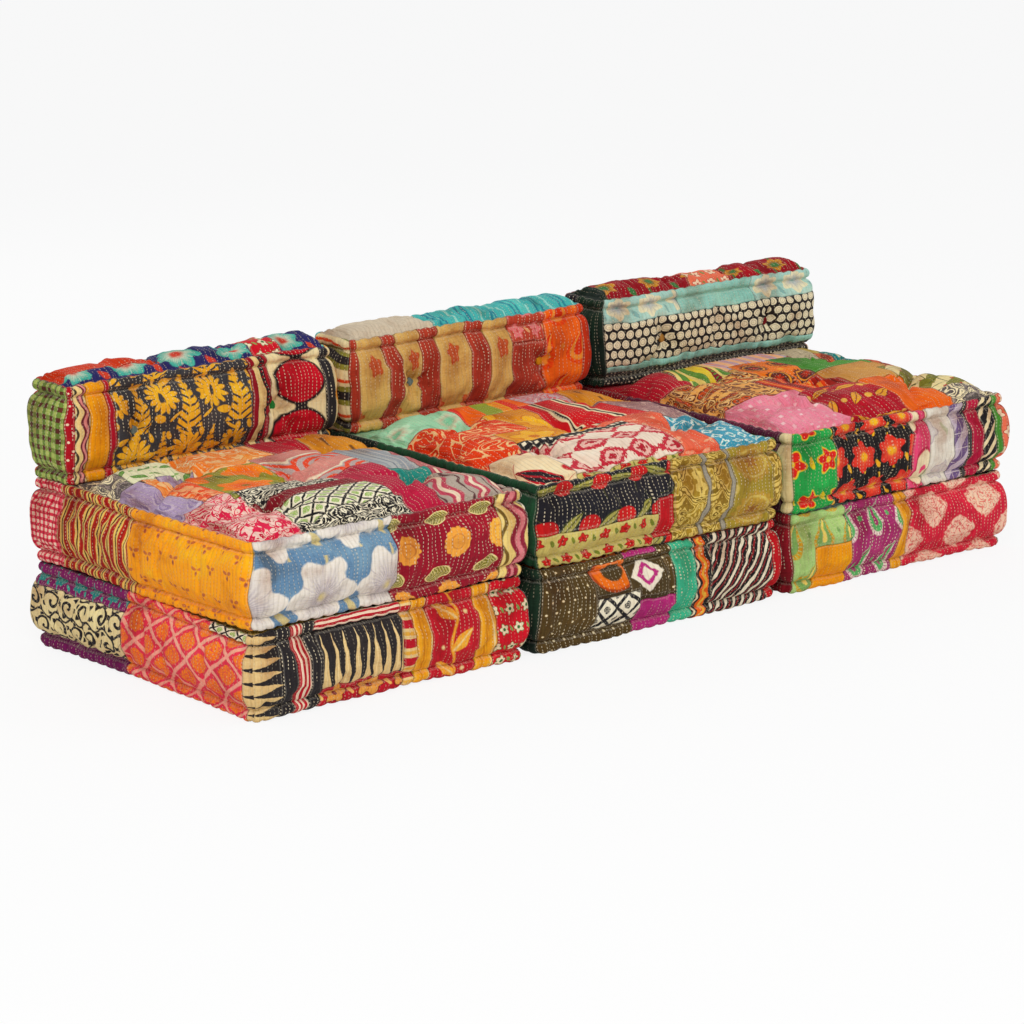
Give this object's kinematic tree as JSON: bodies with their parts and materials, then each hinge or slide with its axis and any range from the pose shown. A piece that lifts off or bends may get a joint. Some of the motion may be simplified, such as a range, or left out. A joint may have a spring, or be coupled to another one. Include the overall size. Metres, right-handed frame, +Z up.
{
  "type": "modular sofa bed",
  "caption": "Low modular sofa bed of loose tufted patchwork floor cushions: each module stacks a base, a seat and a bolster back that lift off, and the modules slide apart.",
  "frame": {"origin": "on the floor, at the middle of the row's length and depth", "axes": "+X along the row to the right as a sitter's guest faces it, -Y the front, +Z up"},
  "size_m": [1.9512, 0.71, 0.5186],
  "materials": {
    "patchwork_cloth": "matte",
    "cotton_filling": "matte",
    "tuft_buttons": "matte",
    "tufting_twine": "matte"
  },
  "bodies": {
    "base_left": {"base_left_cover": "patchwork_cloth", "base_left_filling": "cotton_filling", "base_left_tuft_buttons": "tuft_buttons", "base_left_tufting_twine": "tufting_twine"},
    "seat_left": {"seat_left_cover": "patchwork_cloth", "seat_left_filling": "cotton_filling", "seat_left_tuft_buttons": "tuft_buttons", "seat_left_tufting_twine": "tufting_twine"},
    "back_left": {"back_left_cover": "patchwork_cloth", "back_left_filling": "cotton_filling", "back_left_tuft_buttons": "tuft_buttons", "back_left_tufting_twine": "tufting_twine"},
    "base_middle": {"base_middle_cover": "patchwork_cloth", "base_middle_filling": "cotton_filling", "base_middle_tuft_buttons": "tuft_buttons", "base_middle_tufting_twine": "tufting_twine"},
    "seat_middle": {"seat_middle_cover": "patchwork_cloth", "seat_middle_filling": "cotton_filling", "seat_middle_tuft_buttons": "tuft_buttons", "seat_middle_tufting_twine": "tufting_twine"},
    "back_middle": {"back_middle_cover": "patchwork_cloth", "back_middle_filling": "cotton_filling", "back_middle_tuft_buttons": "tuft_buttons", "back_middle_tufting_twine": "tufting_twine"},
    "base_right": {"base_right_cover": "patchwork_cloth", "base_right_filling": "cotton_filling", "base_right_tuft_buttons": "tuft_buttons", "base_right_tufting_twine": "tufting_twine"},
    "seat_right": {"seat_right_cover": "patchwork_cloth", "seat_right_filling": "cotton_filling", "seat_right_tuft_buttons": "tuft_buttons", "seat_right_tufting_twine": "tufting_twine"},
    "back_right": {"back_right_cover": "patchwork_cloth", "back_right_filling": "cotton_filling", "back_right_tuft_buttons": "tuft_buttons", "back_right_tufting_twine": "tufting_twine"}
  },
  "joints": [
    {"name": "module_left_apart", "type": "slide", "parent": "base_middle", "child": "base_left", "axis": [-1, 0, 0], "range_m": [0, 0.25]},
    {"name": "module_right_apart", "type": "slide", "parent": "base_middle", "child": "base_right", "axis": [1, 0, 0], "range_m": [0, 0.25]},
    {"name": "seat_left_lift", "type": "slide", "parent": "base_left", "child": "seat_left", "axis": [0, 0, 1], "range_m": [0, 0.22]},
    {"name": "back_left_lift", "type": "slide", "parent": "seat_left", "child": "back_left", "axis": [0, 0, 1], "range_m": [0, 0.25]},
    {"name": "seat_middle_lift", "type": "slide", "parent": "base_middle", "child": "seat_middle", "axis": [0, 0, 1], "range_m": [0, 0.22]},
    {"name": "back_middle_lift", "type": "slide", "parent": "seat_middle", "child": "back_middle", "axis": [0, 0, 1], "range_m": [0, 0.25]},
    {"name": "seat_right_lift", "type": "slide", "parent": "base_right", "child": "seat_right", "axis": [0, 0, 1], "range_m": [0, 0.22]},
    {"name": "back_right_lift", "type": "slide", "parent": "seat_right", "child": "back_right", "axis": [0, 0, 1], "range_m": [0, 0.25]}
  ]
}
